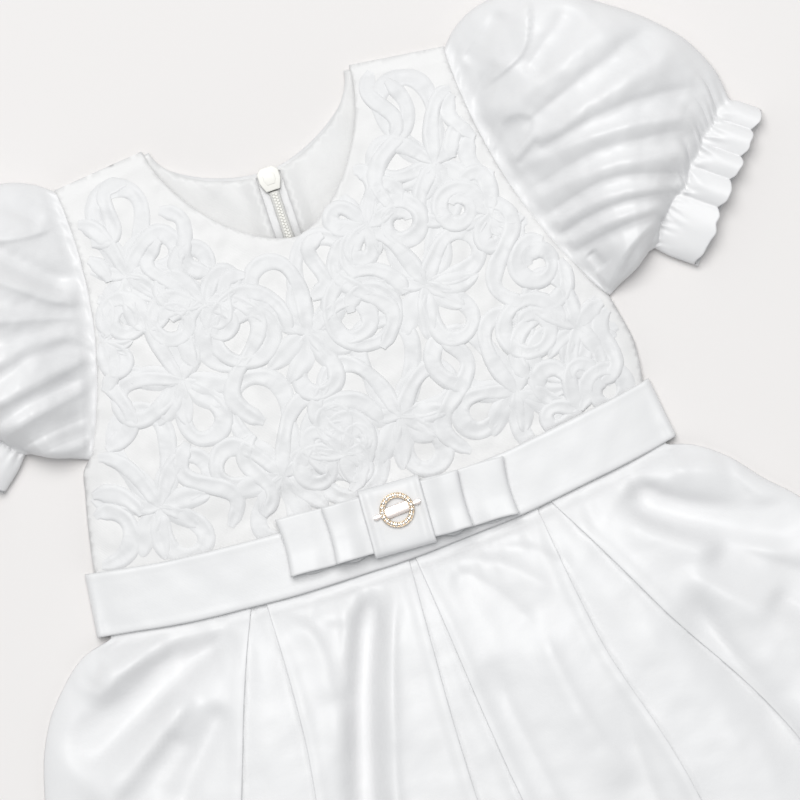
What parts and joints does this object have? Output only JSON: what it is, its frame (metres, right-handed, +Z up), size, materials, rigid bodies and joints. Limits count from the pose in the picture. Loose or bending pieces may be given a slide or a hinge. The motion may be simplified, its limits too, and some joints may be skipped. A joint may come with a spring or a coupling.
{
  "type": "baby dress",
  "caption": "White satin baby dress laid flat, with a ribbon-worked bodice, puff sleeves, a belt with a tailored bow and ring buckle, and a box-pleated skirt.",
  "frame": {"origin": "middle of the dress's box, on the surface that it lies on", "axes": "+Y towards the neck, +Z up out of the dress's front, +X towards the wearer's left"},
  "size_m": [0.514, 0.5066, 0.0335],
  "materials": {
    "ribbon_net": "ribbon on net over satin",
    "bodice_satin": "satin",
    "lining": "matte",
    "sleeve_satin": "satin",
    "belt_satin": "satin",
    "skirt_satin": "satin",
    "buckle_gold": "polished",
    "zip_tape": "matte",
    "zip_metal": "gloss"
  },
  "bodies": {
    "dress": {"bodice_front": "ribbon_net", "bodice_back_left": "bodice_satin", "bodice_back_right": "bodice_satin", "back_lining_left": "lining", "back_lining_right": "lining", "sleeve_left": "sleeve_satin", "sleeve_right": "sleeve_satin", "belt": "belt_satin", "bow_lower_loop": "belt_satin", "bow_upper_loop": "belt_satin", "bow_strap": "belt_satin", "ring_buckle": "buckle_gold", "skirt_front": "skirt_satin", "skirt_back_left": "skirt_satin", "skirt_back_right": "skirt_satin", "zip_chain": "zip_tape", "zip_slider": "zip_metal"},
    "pull_tab": {"zip_pull": "zip_metal"}
  },
  "joints": [
    {"name": "pull_tab_hinge", "type": "hinge", "parent": "dress", "child": "pull_tab", "pos_m": [-0.004, 0.20926, 0.0014], "axis": [1, 0, 0], "range_deg": [0, 150]}
  ]
}
